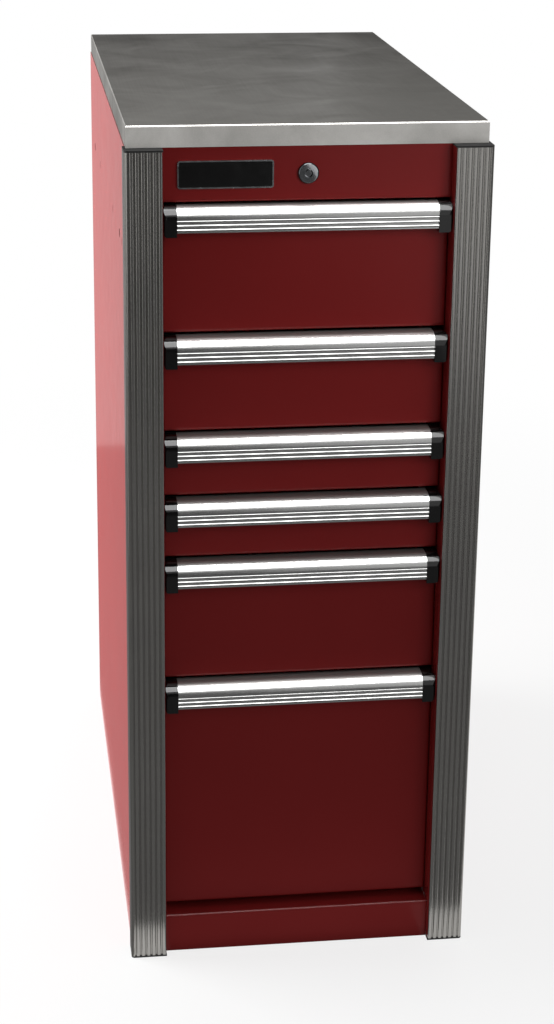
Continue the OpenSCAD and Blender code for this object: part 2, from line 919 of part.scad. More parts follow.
// Hat section of a guide, with its crown behind the bar and its feet on the back panel
module guide_section(guide_y) {
    half_w = guide_w / 2;
    rect(-half_w, half_w, guide_y, guide_y + bracket_t);
    for (s = [0, 1])
        mirror([s, 0]) {
            rect(half_w - bracket_t, half_w, guide_y, back_inner_y);
            rect(half_w - bracket_t, half_w + guide_foot_w, back_inner_y - bracket_t, back_inner_y);
        }
}

// Badge

// Bare field of the badge
module badge_plate() {
    color(black_plastic)
        translate([-badge_x, 0, lock_z])
            along_y(header_y - badge_t / 2, header_y)
                plate_outline(badge_w - 2 * badge_rim, badge_h - 2 * badge_rim, badge_rim);
}

// Bright frame round the badge
module badge_frame() {
    color(chrome)
        translate([-badge_x, 0, lock_z])
            along_y(header_y - badge_t, header_y)
                difference() {
                    plate_outline(badge_w, badge_h, 2 * badge_rim);
                    plate_outline(badge_w - 2 * badge_rim, badge_h - 2 * badge_rim, badge_rim);
                }
}

side_panel_left();
side_panel_right();
back_panel();
base_pan();
kick_panel();
header_panel();
top_panel();
worktop();
worktop_core();
corner_trim_left();
corner_trim_right();
trim_end_caps();
slide_upright_left();
slide_upright_right();
slide_outers();
badge_plate();
badge_frame();
lock_housing();
lock_nut();
lock_rod_bracket();
lock_bar_guides();
lock_plug();
lock_rod();
lock_bar();
for (i = [0 : drawers - 1]) {
    drawer_box(i);
    drawer_front(i);
    drawer_handle(i);
    drawer_handle_caps(i);
    slide_member(i, 2);
    slide_member(i, 1);
}
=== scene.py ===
"""Tool chest side cabinet: finishes, fasteners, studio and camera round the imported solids."""

import json
import logging
import math
from dataclasses import dataclass
from enum import Enum
from typing import Any

import bpy
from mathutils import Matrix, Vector

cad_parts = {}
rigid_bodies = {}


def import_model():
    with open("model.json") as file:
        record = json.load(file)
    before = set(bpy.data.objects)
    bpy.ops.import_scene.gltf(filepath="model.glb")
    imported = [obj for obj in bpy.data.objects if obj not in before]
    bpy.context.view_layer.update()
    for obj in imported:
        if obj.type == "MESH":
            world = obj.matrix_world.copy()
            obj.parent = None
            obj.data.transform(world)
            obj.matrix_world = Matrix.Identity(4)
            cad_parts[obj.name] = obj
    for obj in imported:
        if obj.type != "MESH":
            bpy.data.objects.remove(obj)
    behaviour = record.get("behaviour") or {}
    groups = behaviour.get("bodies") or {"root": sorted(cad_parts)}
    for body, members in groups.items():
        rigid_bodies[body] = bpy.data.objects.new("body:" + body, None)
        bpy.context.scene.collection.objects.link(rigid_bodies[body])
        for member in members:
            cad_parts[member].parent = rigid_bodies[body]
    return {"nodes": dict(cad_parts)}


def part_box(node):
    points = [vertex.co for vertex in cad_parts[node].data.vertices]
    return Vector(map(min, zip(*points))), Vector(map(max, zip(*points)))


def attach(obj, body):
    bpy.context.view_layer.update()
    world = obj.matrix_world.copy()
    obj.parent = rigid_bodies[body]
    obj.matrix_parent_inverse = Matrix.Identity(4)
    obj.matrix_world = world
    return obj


for leftover in list(bpy.data.objects):
    bpy.data.objects.remove(leftover, do_unlink=True)
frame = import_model()

LOG = logging.getLogger("side_cabinet")
MM = 0.001
DRAWERS = 6

Colour = tuple[float, float, float, float]
Point = tuple[float, float, float]
Span = tuple[float, float]
Seat = tuple[Vector, Vector]
Tree = bpy.types.NodeTree
Node = bpy.types.Node
Socket = bpy.types.NodeSocket
Value = float | Socket
Inputs = dict[str | int, Any]

# Nearly all values of a noise texture lie between these two.
NOISE_SPAN: Span = (0.3, 0.7)
UNIT: Span = (0.0, 1.0)


def linear(hex_colour: str) -> Colour:
    """Turns an sRGB hex colour into linear light.

    Args:
        hex_colour: The colour as #rrggbb.

    Returns:
        Red, green, blue and an alpha of 1.
    """
    channels = [int(hex_colour[i:i + 2], 16) / 255 for i in (1, 3, 5)]
    red, green, blue = [c / 12.92 if c <= 0.04045 else ((c + 0.055) / 1.055) ** 2.4
                        for c in channels]
    return red, green, blue, 1.0


def per_metre(size_mm: float) -> float:
    """Gives the texture scale whose features are size_mm wide on Object coordinates."""
    return 1000 / size_mm


def feed(tree: Tree, node: Node, inputs: Inputs) -> None:
    """Sets a node's constants and links its other inputs.

    Args:
        tree: The tree that holds the node.
        node: The node.
        inputs: A constant or an output socket for each input, by name or number.
    """
    for key, value in inputs.items():
        if isinstance(value, Socket):
            tree.links.new(value, node.inputs[key])
        else:
            node.inputs[key].default_value = value


def add_node(tree: Tree, kind: str, inputs: Inputs | None = None, **settings: Any) -> Node:
    """Adds a node with its settings, constants and links.

    Args:
        tree: The tree that takes the node.
        kind: Blender's name of the node type.
        inputs: A constant or an output socket for each input, by name or number.
        settings: Attributes of the node itself.

    Returns:
        The new node.
    """
    node = tree.nodes.new(kind)
    for name, value in settings.items():
        setattr(node, name, value)
    feed(tree, node, inputs or {})
    return node


def noise(tree: Tree, place: Socket, size_mm: float, detail: float, **more: float) -> Socket:
    """Adds a noise texture.

    Args:
        tree: The tree that takes the node.
        place: The coordinates.
        size_mm: The width of a feature.
        detail: The number of finer layers.
        more: Other inputs of the texture, by name.

    Returns:
        The noise.
    """
    inputs = {"Vector": place, "Scale": per_metre(size_mm), "Detail": detail, **more}
    return add_node(tree, "ShaderNodeTexNoise", inputs).outputs["Fac"]


def remap(tree: Tree, value: Socket, source: Span, target: Span = UNIT, **settings: Any) -> Socket:
    """Maps one range of values onto another and holds what lies outside at the ends.

    Args:
        tree: The tree that takes the node.
        value: The value to map.
        source: The ends of the range that is mapped.
        target: What the ends become.
        settings: Attributes of the node itself.

    Returns:
        The mapped value.
    """
    inputs = {"Value": value, "From Min": source[0], "From Max": source[1],
              "To Min": target[0], "To Max": target[1]}
    return add_node(tree, "ShaderNodeMapRange", inputs, **settings).outputs["Result"]


def blend_colours(tree: Tree, share: Socket, first: str | Socket, second: str | Socket) -> Socket:
    """Mixes two colours.

    Args:
        tree: The tree that takes the node.
        share: How much of the second colour is in the mix.
        first: A hex colour or a socket.
        second: A hex colour or a socket.

    Returns:
        The mixed colour.
    """
    ends = [linear(end) if isinstance(end, str) else end for end in (first, second)]
    inputs = {0: share, 6: ends[0], 7: ends[1]}
    return add_node(tree, "ShaderNodeMix", inputs, data_type="RGBA").outputs[2]


def blend_values(tree: Tree, share: Value, first: Value, second: Value) -> Socket:
    """Mixes two values.

    Args:
        tree: The tree that takes the node.
        share: How much of the second value is in the mix.
        first: A constant or a socket.
        second: A constant or a socket.

    Returns:
        The mixed value.
    """
    inputs = {0: share, 2: first, 3: second}
    return add_node(tree, "ShaderNodeMix", inputs, data_type="FLOAT").outputs[0]


def multiply(tree: Tree, first: Value, second: Value) -> Socket:
    """Multiplies two values, each a constant or a socket."""
    inputs = {0: first, 1: second}
    return add_node(tree, "ShaderNodeMath", inputs, operation="MULTIPLY").outputs[0]


def part_of(tree: Tree, vector: Socket, axis: str) -> Socket:
    """Gives one component, X, Y or Z, of a vector."""
    return add_node(tree, "ShaderNodeSeparateXYZ", {0: vector}).outputs[axis]


def facing(tree: Tree, axis: str) -> Socket:
    """Gives one component, X, Y or Z, of the surface's normal."""
    return part_of(tree, add_node(tree, "ShaderNodeNewGeometry").outputs["Normal"], axis)


def bump(tree: Tree, height: Socket, strength: float, depth_mm: float) -> Socket:
    """Turns a pattern into fine relief.

    Args:
        tree: The tree that takes the node.
        height: The pattern.
        strength: How strongly the relief shows.
        depth_mm: The depth of the relief.

    Returns:
        The normal that carries the relief.
    """
    inputs = {"Strength": strength, "Distance": depth_mm * MM, "Height": height}
    return add_node(tree, "ShaderNodeBump", inputs).outputs["Normal"]


def blank_material(name: str) -> bpy.types.Material:
    """Makes a material with an empty tree.

    Args:
        name: The material's name.

    Returns:
        The material.
    """
    made = bpy.data.materials.new(name)
    made.use_nodes = True
    made.node_tree.nodes.clear()
    return made


class Grain(Enum):
    """Direction in which a metal was drawn or brushed, as the stretch along each axis."""

    ACROSS = (400.0, 1.0, 1.0)
    DEEP = (1.0, 120.0, 1.0)
    UPRIGHT = (1.0, 1.0, 400.0)

    def stretch(self, tree: Tree, place: Socket) -> Socket:
        """Draws out the coordinates along the grain.

        Args:
            tree: The tree that takes the node.
            place: The coordinates.

        Returns:
            The coordinates, drawn out.
        """
        inputs = {"Vector": place, "Scale": tuple(1 / s for s in self.value)}
        return add_node(tree, "ShaderNodeMapping", inputs).outputs["Vector"]


@dataclass(frozen=True)
class Finish:
    """A surface finish that becomes one material."""

    name: str

    def inputs(self, tree: Tree, place: Socket) -> Inputs:
        """Builds the finish's pattern.

        Args:
            tree: The material's tree.
            place: Object coordinates.

        Returns:
            A constant or a socket for each input of the Principled shader that the finish sets.
        """
        raise NotImplementedError

    def material(self) -> bpy.types.Material:
        """Gives the finish's material, which is made on first use.

        Returns:
            The material.
        """
        found = bpy.data.materials.get(self.name)
        if found is not None:
            return found
        made = blank_material(self.name)
        tree = made.node_tree
        place = add_node(tree, "ShaderNodeTexCoord").outputs["Object"]
        shader = add_node(tree, "ShaderNodeBsdfPrincipled")
        add_node(tree, "ShaderNodeOutputMaterial", {"Surface": shader.outputs["BSDF"]})
        feed(tree, shader, self.inputs(tree, place))
        return made


@dataclass(frozen=True)
class PowderCoat(Finish):
    """Polyester powder coat, sprayed on folded steel and baked.

    It gives the eye a deep red with a soft gloss, a fine orange peel and a slight drift of colour
    from one panel to the next. The peel is drawn at 3 mm, coarser than the real 1.5 mm, to show.
    """

    colour: str = "#902828"
    deep: str = "#852323"
    drift_mm: float = 210.0
    film_mm: float = 35.0
    peel_mm: float = 3.0
    peel_strength: float = 0.12
    peel_depth_mm: float = 0.05
    gloss: Span = (0.17, 0.2)
    reflectance: float = 0.12

    def inputs(self, tree: Tree, place: Socket) -> Inputs:
        """Builds colour drift, gloss and orange peel.

        Args:
            tree: The material's tree.
            place: Object coordinates.

        Returns:
            A constant or a socket for each input of the Principled shader that the finish sets.
        """
        drift = noise(tree, place, self.drift_mm, detail=3.0)
        film = noise(tree, place, self.film_mm, detail=4.0)
        peel = noise(tree, place, self.peel_mm, detail=1.0)
        return {"Base Color": blend_colours(tree, drift, self.deep, self.colour),
                "Roughness": remap(tree, film, NOISE_SPAN, self.gloss),
                "Normal": bump(tree, peel, self.peel_strength, self.peel_depth_mm),
                "Specular IOR Level": self.reflectance}


@dataclass(frozen=True)
class BrushedStainless(Finish):
    """Stainless sheet, brushed along its length and wiped clean by hand.

    It gives the eye fine streaks from front to back under cloudy wipe marks. The face is painted
    brighter at the front and darker to the back, a painted reflection, and the folded edges are
    painted paler than the face, painted light on the same steel turned another way.
    The streaks are drawn at 1.6 mm, coarser than the real grit.
    """

    face: tuple[str, str] = ("#373634", "#898783")
    # Paler colours for the faces that do not point up: painted light.
    edge: tuple[str, str] = ("#a2a09c", "#d8d6d2")
    glance: float = 0.35
    cloud_mm: float = 95.0
    streak_mm: float = 1.6
    streak_share: float = 0.3
    streak_strength: float = 0.1
    streak_depth_mm: float = 0.04
    # Where the face goes from its painted bright front to its darker back.
    depth_m: Span = (-0.36, 0.38)
    front_sheen_share: float = 0.45
    level: Span = (0.75, 0.92)
    face_gloss: Span = (0.5, 0.3)
    edge_gloss: float = 0.48

    def inputs(self, tree: Tree, place: Socket) -> Inputs:
        """Builds wipe marks, brush streaks, the painted bright front and the painted pale edges.

        Args:
            tree: The material's tree.
            place: Object coordinates.

        Returns:
            A constant or a socket for each input of the Principled shader that the finish sets.
        """
        cloud = noise(tree, place, self.cloud_mm, detail=4.0, Roughness=0.55, Distortion=0.6)
        streak = noise(tree, Grain.DEEP.stretch(tree, place), self.streak_mm, detail=2.0)
        marks = blend_values(tree, self.streak_share, remap(tree, cloud, NOISE_SPAN), streak)
        # Painted reflection: the face is made brighter towards the front and darker towards the
        # back.
        front_sheen = remap(tree, part_of(tree, place, "Y"), self.depth_m, (1.0, 0.0))
        marks_and_sheen = blend_values(tree, self.front_sheen_share, marks, front_sheen)
        # Painted light: faces that do not point up take the paler edge colours, the top face the
        # darker ones.
        upward = remap(tree, facing(tree, "Z"), self.level)
        face = blend_colours(tree, marks_and_sheen, *self.face)
        edge = blend_colours(tree, marks, *self.edge)
        satin = remap(tree, marks_and_sheen, UNIT, self.face_gloss)
        return {"Base Color": blend_colours(tree, upward, edge, face),
                "Roughness": blend_values(tree, upward, self.edge_gloss, satin),
                "Normal": bump(tree, streak, self.streak_strength, self.streak_depth_mm),
                "Metallic": 1.0,
                "Specular Tint": (self.glance, self.glance, self.glance, 1.0)}


@dataclass(frozen=True)
class ExtrudedAluminium(Finish):
    """Aluminium pressed through a die, then anodised.

    It gives the eye a satin metal with faint die lines along the extrusion and a little clouding.
    Flat tops are painted a darker grey, painted shade, and are rougher. The front has another tone
    than what lies behind it: on the corner trims the flutes are painted slightly darker than the
    ribs, painted shade in the hollows, and on the pulls the beaded grip is painted duller than the
    nose above it, painted shade on the beads and a painted highlight on the nose. The die lines
    are drawn at 1.2 mm, coarser than the real ones.
    """

    front: tuple[str, str]
    # Painted shade in the trims' flutes and a painted highlight on the pulls' noses.
    behind: str
    # Colour of the faces that point up, painted shade.
    shaded_top: str
    grain: Grain
    front_m: float
    step_mm: Span
    gloss: Span
    line_strength: float
    line_mm: float = 1.2
    line_depth_mm: float = 0.02
    line_share: float = 0.45
    cloud_mm: float = 60.0
    level: Span = (0.84, 0.96)
    top_gloss: float = 0.45

    def inputs(self, tree: Tree, place: Socket) -> Inputs:
        """Builds die lines, clouding, the painted change of tone behind the front and the painted
        dark tops.

        Args:
            tree: The material's tree.
            place: Object coordinates.

        Returns:
            A constant or a socket for each input of the Principled shader that the finish sets.
        """
        lines = noise(tree, self.grain.stretch(tree, place), self.line_mm, detail=2.0)
        cloud = noise(tree, place, self.cloud_mm, detail=2.0)
        mixed = blend_values(tree, self.line_share, cloud, lines)
        front = blend_colours(tree, remap(tree, mixed, NOISE_SPAN), *self.front)
        # Painted shade and highlight: what lies behind the front is darker on the trims and paler
        # on the pulls.
        near_m, far_m = [self.front_m + step * MM for step in self.step_mm]
        depth = remap(tree, part_of(tree, place, "Y"), (near_m, far_m))
        side = blend_colours(tree, depth, front, self.behind)
        # Painted shade: faces that point up take the darker top colour.
        upward = remap(tree, facing(tree, "Z"), self.level)
        satin = remap(tree, cloud, NOISE_SPAN, self.gloss)
        return {"Base Color": blend_colours(tree, upward, side, self.shaded_top),
                "Roughness": blend_values(tree, upward, satin, self.top_gloss),
                "Normal": bump(tree, lines, self.line_strength, self.line_depth_mm),
                "Metallic": 1.0}


@dataclass(frozen=True)
class MouldedPlastic(Finish):
    """Black or charcoal ABS from a mould.

    It gives the eye a dark skin, polished or matt, broken up by the mould's spark texture. The
    texture is drawn at 1.4 mm, coarser than the real 0.3 mm.
    """

    tones: tuple[str, str]
    gloss: Span
    reflectance: float
    cloud_mm: float = 18.0
    grain_mm: float = 1.4
    grain_strength: float = 0.1
    grain_depth_mm: float = 0.03

    def inputs(self, tree: Tree, place: Socket) -> Inputs:
        """Builds the mould's texture and its sheen.

        Args:
            tree: The material's tree.
            place: Object coordinates.

        Returns:
            A constant or a socket for each input of the Principled shader that the finish sets.
        """
        grain = noise(tree, place, self.grain_mm, detail=2.0)
        cloud = noise(tree, place, self.cloud_mm, detail=3.0)
        return {"Base Color": blend_colours(tree, cloud, *self.tones),
                "Roughness": remap(tree, cloud, NOISE_SPAN, self.gloss),
                "Normal": bump(tree, grain, self.grain_strength, self.grain_depth_mm),
                "Specular IOR Level": self.reflectance}


@dataclass(frozen=True)
class PlatedMetal(Finish):
    """Steel or die-cast zinc under a bright or passivated plating.

    Bright chrome gives the eye sharp reflections on its face, inside a rim that is painted
    dark, a painted reflection.
    Passivated zinc gives a mottled grey with patches a few millimetres wide.
    """

    tones: tuple[str, str]
    gloss: Span
    patch_mm: float
    rim: str | None = None
    patch_span: Span = (0.32, 0.68)
    rim_turn: Span = (-0.98, -0.9)

    def inputs(self, tree: Tree, place: Socket) -> Inputs:
        """Builds the mottling of the plating, and the painted dark rim, a painted reflection, if
        any.

        Args:
            tree: The material's tree.
            place: Object coordinates.

        Returns:
            A constant or a socket for each input of the Principled shader that the finish sets.
        """
        patch = noise(tree, place, self.patch_mm, detail=3.0, Distortion=0.8)
        spread = remap(tree, patch, self.patch_span)
        colour = blend_colours(tree, spread, *self.tones)
        # Painted reflection: faces turned away from the front, the rim, are painted dark.
        if self.rim is not None:
            turned = remap(tree, facing(tree, "Y"), self.rim_turn)
            colour = blend_colours(tree, turned, colour, self.rim)
        return {"Base Color": colour,
                "Roughness": remap(tree, spread, UNIT, self.gloss),
                "Metallic": 1.0}


@dataclass(frozen=True)
class ParticleBoard(Finish):
    """Board pressed from wood chips and glue.

    It gives the eye tan chips of 2 to 5 mm in many shades, with a dry, slightly open surface.
    """

    tones: tuple[str, str] = ("#7d6340", "#b79a6e")
    chip_mm: float = 4.0
    chip_strength: float = 0.4
    chip_depth_mm: float = 0.2
    dryness: float = 0.85

    def inputs(self, tree: Tree, place: Socket) -> Inputs:
        """Builds the chips.

        Args:
            tree: The material's tree.
            place: Object coordinates.

        Returns:
            A constant or a socket for each input of the Principled shader that the finish sets.
        """
        inputs = {"Vector": place, "Scale": per_metre(self.chip_mm), "Randomness": 1.0}
        chip = add_node(tree, "ShaderNodeTexVoronoi", inputs).outputs
        return {"Base Color": blend_colours(tree, part_of(tree, chip["Color"], "X"), *self.tones),
                "Roughness": self.dryness,
                "Normal": bump(tree, chip["Distance"], self.chip_strength, self.chip_depth_mm)}


RED_PAINT = PowderCoat("red_powder_coat")
STAINLESS = BrushedStainless("brushed_stainless")
# The trims' flutes are painted darker, painted shade.
TRIM_ALLOY = ExtrudedAluminium(
    "satin_anodised_aluminium", front=("#9e9c99", "#a3a19d"), behind="#908e8a", shaded_top="#5a5957",
    grain=Grain.UPRIGHT, front_m=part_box("corner_trim_left")[0][1], step_mm=(0.5, 1.3),
    gloss=(0.2, 0.23), line_strength=0.0)
# The pulls' noses are painted paler than the grip, a painted highlight, and the grip duller,
# painted shade.
PULL_ALLOY = ExtrudedAluminium(
    "bright_anodised_aluminium", front=("#a4a4a3", "#aeaead"), behind="#e6e6e5", shaded_top="#8c8c8a",
    grain=Grain.ACROSS, front_m=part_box("drawer_1_handle")[0][1], step_mm=(1.9, 2.3),
    gloss=(0.2, 0.24), line_strength=0.02)
CAP_ABS = MouldedPlastic(
    "polished_black_abs", tones=("#141414", "#1c1c1c"), gloss=(0.07, 0.1), reflectance=0.4)
MATT_ABS = MouldedPlastic(
    "matt_charcoal_abs", tones=("#3a3a3a", "#434343"), gloss=(0.85, 0.95), reflectance=0.02)
BADGE_ABS = MouldedPlastic(
    "gloss_black_abs", tones=("#0f0f0f", "#161616"), gloss=(0.08, 0.14), reflectance=0.5)
# The lock's rim colour is a painted dark reflection.
CHROME = PlatedMetal(
    "bright_chrome_plate", tones=("#a2a4a7", "#b2b4b7"), gloss=(0.015, 0.03), patch_mm=9.0,
    rim="#3c3e40")
SATIN_CHROME = PlatedMetal(
    "satin_chrome_plate", tones=("#7a7b7c", "#8c8d8e"), gloss=(0.2, 0.28), patch_mm=9.0)
ZINC = PlatedMetal(
    "passivated_zinc_plate", tones=("#85898c", "#a5a9aa"), gloss=(0.3, 0.45), patch_mm=6.0)
BOARD = ParticleBoard("particle_board")


def dress(finish: Finish, *nodes: str) -> None:
    """Puts a finish on solids that stay as they are.

    Args:
        finish: The finish.
        nodes: The names of the solids.
    """
    for name in nodes:
        for place in frame["nodes"][name].material_slots:
            place.material = finish.material()
        LOG.info("%s: %s", name, finish.name)


class Head(Enum):
    """Fastener heads: radius, height and depth of the recess, in millimetres."""

    BLIND_RIVET = (4.0, 1.3, 0.6)
    PAN_SCREW = (3.6, 2.2, 1.2)
    FLAT_RIVET = (4.5, 0.9, 0.2)


@dataclass
class Fasteners:
    """Fastener heads of one kind on one body, made by Geometry Nodes.

    Each step of the dome has its share of the head's height and the width that it leaves.
    """

    name: str
    body: str
    head: Head
    finish: Finish
    seats: list[Seat]
    slot: str = "zinc"
    sides: int = 14
    dome: tuple[Span, ...] = ((0.45, 0.86), (0.35, 0.75), (0.2, 0.55))
    weld: float = 0.001 * MM

    def tree(self) -> Tree:
        """Gives the tree that sets a recessed, domed head on every seat.

        Returns:
            The tree, which is made on first use.
        """
        found = bpy.data.node_groups.get("fastener_heads")
        if found is not None:
            return found
        tree = bpy.data.node_groups.new("fastener_heads", "GeometryNodeTree")
        for label, kind in (("Seats", "Geometry"), ("Head Radius", "Float"),
                            ("Head Height", "Float"), ("Recess Depth", "Float"),
                            ("Finish", "Material")):
            tree.interface.new_socket(label, in_out="INPUT", socket_type=f"NodeSocket{kind}")
        tree.interface.new_socket("Heads", in_out="OUTPUT", socket_type="NodeSocketGeometry")
        given = add_node(tree, "NodeGroupInput").outputs
        disc = add_node(tree, "GeometryNodeMeshCircle",
                        {"Vertices": self.sides, "Radius": given["Head Radius"]}, fill_type="NGON")
        under = add_node(tree, "GeometryNodeFlipFaces", {"Mesh": disc.outputs["Mesh"]})
        shape, crown = disc.outputs["Mesh"], None
        for rise, narrow in self.dome:
            step = multiply(tree, given["Head Height"], rise)
            raised = add_node(tree, "GeometryNodeExtrudeMesh",
                              {"Mesh": shape, "Offset Scale": step, "Individual": False},
                              mode="FACES")
            if crown is not None:
                tree.links.new(crown, raised.inputs["Selection"])
            crown = raised.outputs["Top"]
            drawn = add_node(tree, "GeometryNodeScaleElements",
                             {"Geometry": raised.outputs["Mesh"], "Selection": crown,
                              "Scale": narrow}, domain="FACE")
            shape = drawn.outputs["Geometry"]
        sunk = multiply(tree, given["Recess Depth"], -1.0)
        recess = add_node(tree, "GeometryNodeExtrudeMesh",
                          {"Mesh": shape, "Selection": crown, "Offset Scale": sunk,
                           "Individual": False}, mode="FACES")
        both = add_node(tree, "GeometryNodeJoinGeometry", {0: recess.outputs["Mesh"]})
        tree.links.new(under.outputs["Mesh"], both.inputs[0])
        closed = add_node(tree, "GeometryNodeMergeByDistance",
                          {"Geometry": both.outputs["Geometry"], "Distance": self.weld})
        aim = add_node(tree, "GeometryNodeInputNamedAttribute", {"Name": "facing"},
                       data_type="FLOAT_VECTOR")
        turned = add_node(tree, "FunctionNodeAlignRotationToVector",
                          {"Vector": aim.outputs["Attribute"]}, axis="Z")
        placed = add_node(tree, "GeometryNodeInstanceOnPoints",
                          {"Points": given["Seats"], "Instance": closed.outputs["Geometry"],
                           "Rotation": turned.outputs["Rotation"]})
        real = add_node(tree, "GeometryNodeRealizeInstances",
                        {"Geometry": placed.outputs["Instances"]})
        plated = add_node(tree, "GeometryNodeSetMaterial",
                          {"Geometry": real.outputs["Geometry"], "Material": given["Finish"]})
        add_node(tree, "NodeGroupOutput", {0: plated.outputs["Geometry"]})
        return tree

    def build(self) -> bpy.types.Object:
        """Makes the heads as one plain mesh that rides on the body.

        Returns:
            The finished piece.
        """
        seats = bpy.data.meshes.new(f"{self.name}_seats")
        seats.from_pydata([tuple(where) for where, _ in self.seats], [], [])
        ways = seats.attributes.new("facing", "FLOAT_VECTOR", "POINT")
        ways.data.foreach_set("vector", [part for _, way in self.seats for part in way])
        piece = bpy.data.objects.new(self.name, seats)
        bpy.context.scene.collection.objects.link(piece)
        nodes = piece.modifiers.new("heads", "NODES")
        nodes.node_group = self.tree()
        radius, height, recess = self.head.value
        sizes = {"Head Radius": radius * MM, "Head Height": height * MM,
                 "Recess Depth": recess * MM, "Finish": self.finish.material()}
        for socket in nodes.node_group.interface.items_tree:
            if socket.in_out == "INPUT" and socket.name in sizes:
                nodes[socket.identifier] = sizes[socket.name]
        ready = piece.evaluated_get(bpy.context.evaluated_depsgraph_get())
        plain = bpy.data.meshes.new_from_object(ready)
        piece.modifiers.clear()
        piece.data = plain
        bpy.data.meshes.remove(seats)
        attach(piece, self.body)
        LOG.info("%s: %d heads, %d faces", self.name, len(self.seats), len(plain.polygons))
        return piece


@dataclass
class Carcass:
    """Folded steel carcass with its corner trims and worktop."""

    flange_w: float = 16 * MM
    rivets_per_flange: int = 8
    rivets_across: int = 3

    def dress(self) -> None:
        """Puts the finishes on the carcass's solids."""
        dress(RED_PAINT, "side_panel_left", "side_panel_right", "back_panel", "base_pan",
              "kick_panel", "header_panel", "top_panel")
        dress(STAINLESS, "worktop")
        dress(BOARD, "worktop_core")
        dress(TRIM_ALLOY, "corner_trim_left", "corner_trim_right")
        dress(MATT_ABS, "trim_end_caps")
        dress(ZINC, "slide_upright_left", "slide_upright_right", "slide_outers")

    def rear_rivets(self) -> bpy.types.Object:
        """Sets blind rivets down the two rear flanges and along the foot of the back panel.

        Returns:
            The rivets.
        """
        low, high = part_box("side_panel_right")
        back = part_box("back_panel")[1]
        behind = Vector((0, 1, 0))
        x = high[0] - self.flange_w / 2
        span = high[2] - low[2]
        seats: list[Seat] = []
        for k in range(self.rivets_per_flange):
            z = low[2] + span * (k + 0.5) / self.rivets_per_flange
            seats += [(Vector((side * x, high[1], z)), behind) for side in (-1, 1)]
        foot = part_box("base_pan")
        z = (foot[0][2] + foot[1][2]) / 2
        for k in range(self.rivets_across):
            across = (k + 0.5) / self.rivets_across - 0.5
            seats.append((Vector((across * 2 * back[0], back[1], z)), behind))
        return Fasteners("rear_rivets", "cabinet", Head.BLIND_RIVET, RED_PAINT, seats,
                         slot="red_paint").build()

    def build(self) -> None:
        """Dresses the carcass and sets its rivets."""
        self.dress()
        self.rear_rivets()


@dataclass
class Drawer:
    """One drawer with its pull and slides."""

    number: int
    sheet_t: float = 1.2 * MM
    box_t: float = 1.0 * MM
    screw_drop: float = 9 * MM
    screw_x: float = 105 * MM
    rivet_places: tuple[float, ...] = (0.12, 0.5, 0.88)

    @property
    def body(self) -> str:
        """The drawer's body."""
        return f"drawer_{self.number}"

    def dress(self) -> None:
        """Puts the finishes on the drawer's solids."""
        dress(RED_PAINT, f"{self.body}_box", f"{self.body}_front")
        dress(PULL_ALLOY, f"{self.body}_handle")
        dress(CAP_ABS, f"{self.body}_handle_caps")
        dress(ZINC, f"{self.body}_slide_inner", f"{self.body}_slide_mid")

    def pull_screws(self) -> bpy.types.Object:
        """Sets the screws that hold the pull, on the inner face of the drawer front.

        Returns:
            The screws.
        """
        low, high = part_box(f"{self.body}_front")
        seats = [(Vector((x, low[1] + self.sheet_t, high[2] - self.screw_drop)), Vector((0, 1, 0)))
                 for x in (-self.screw_x, 0.0, self.screw_x)]
        name = f"{self.body}_pull_screws"
        return Fasteners(name, self.body, Head.PAN_SCREW, ZINC, seats).build()

    def slide_rivets(self) -> bpy.types.Object:
        """Sets the flat rivets that hold the slides, on the inner faces of the drawer box.

        Returns:
            The rivets.
        """
        low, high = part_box(f"{self.body}_slide_inner")
        inner_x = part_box(f"{self.body}_box")[1][0] - self.box_t
        z = (low[2] + high[2]) / 2
        seats: list[Seat] = []
        for place in self.rivet_places:
            y = low[1] + place * (high[1] - low[1])
            seats += [(Vector((side * inner_x, y, z)), Vector((-side, 0, 0))) for side in (-1, 1)]
        name = f"{self.body}_slide_rivets"
        return Fasteners(name, self.body, Head.FLAT_RIVET, ZINC, seats).build()

    def build(self) -> None:
        """Dresses the drawer and sets its screws and rivets."""
        self.dress()
        self.pull_screws()
        self.slide_rivets()


@dataclass
class Lock:
    """Key lock with the rod and the bar behind the drawers."""

    bright: tuple[str, ...] = ("lock_housing", "lock_plug")
    plain: tuple[str, ...] = ("lock_nut", "lock_rod", "lock_rod_bracket", "lock_bar",
                              "lock_bar_guides")

    def build(self) -> None:
        """Puts the finishes on the lock's solids."""
        dress(CHROME, *self.bright)
        dress(ZINC, *self.plain)


@dataclass
class Badge:
    """Bare badge on the header."""

    field: str = "badge_plate"
    rim: str = "badge_frame"

    def build(self) -> None:
        """Puts the finishes on the badge's solids."""
        dress(BADGE_ABS, self.field)
        dress(SATIN_CHROME, self.rim)


@dataclass(frozen=True)
class Softbox:
    """A rectangular lamp behind a diffuser.

    A lamp that is not mirrored stays out of reflections, and one that is not lighting shows only
    in them.
    """

    name: str
    place: Point
    aim: Point
    size: Span
    power: float
    mirrored: bool = True
    lighting: bool = True
    spread_deg: float = 180.0

    def build(self) -> None:
        """Hangs the lamp and points it."""
        data = bpy.data.lights.new(self.name, "AREA")
        data.shape = "RECTANGLE"
        data.size, data.size_y = self.size
        data.energy = self.power
        data.spread = math.radians(self.spread_deg)
        lamp = bpy.data.objects.new(self.name, data)
        lamp.location = self.place
        way = Vector(self.aim) - Vector(self.place)
        lamp.rotation_euler = way.to_track_quat("-Z", "Y").to_euler()
        lamp.visible_camera = False
        lamp.visible_glossy = self.mirrored
        lamp.visible_diffuse = self.lighting
        bpy.context.scene.collection.objects.link(lamp)


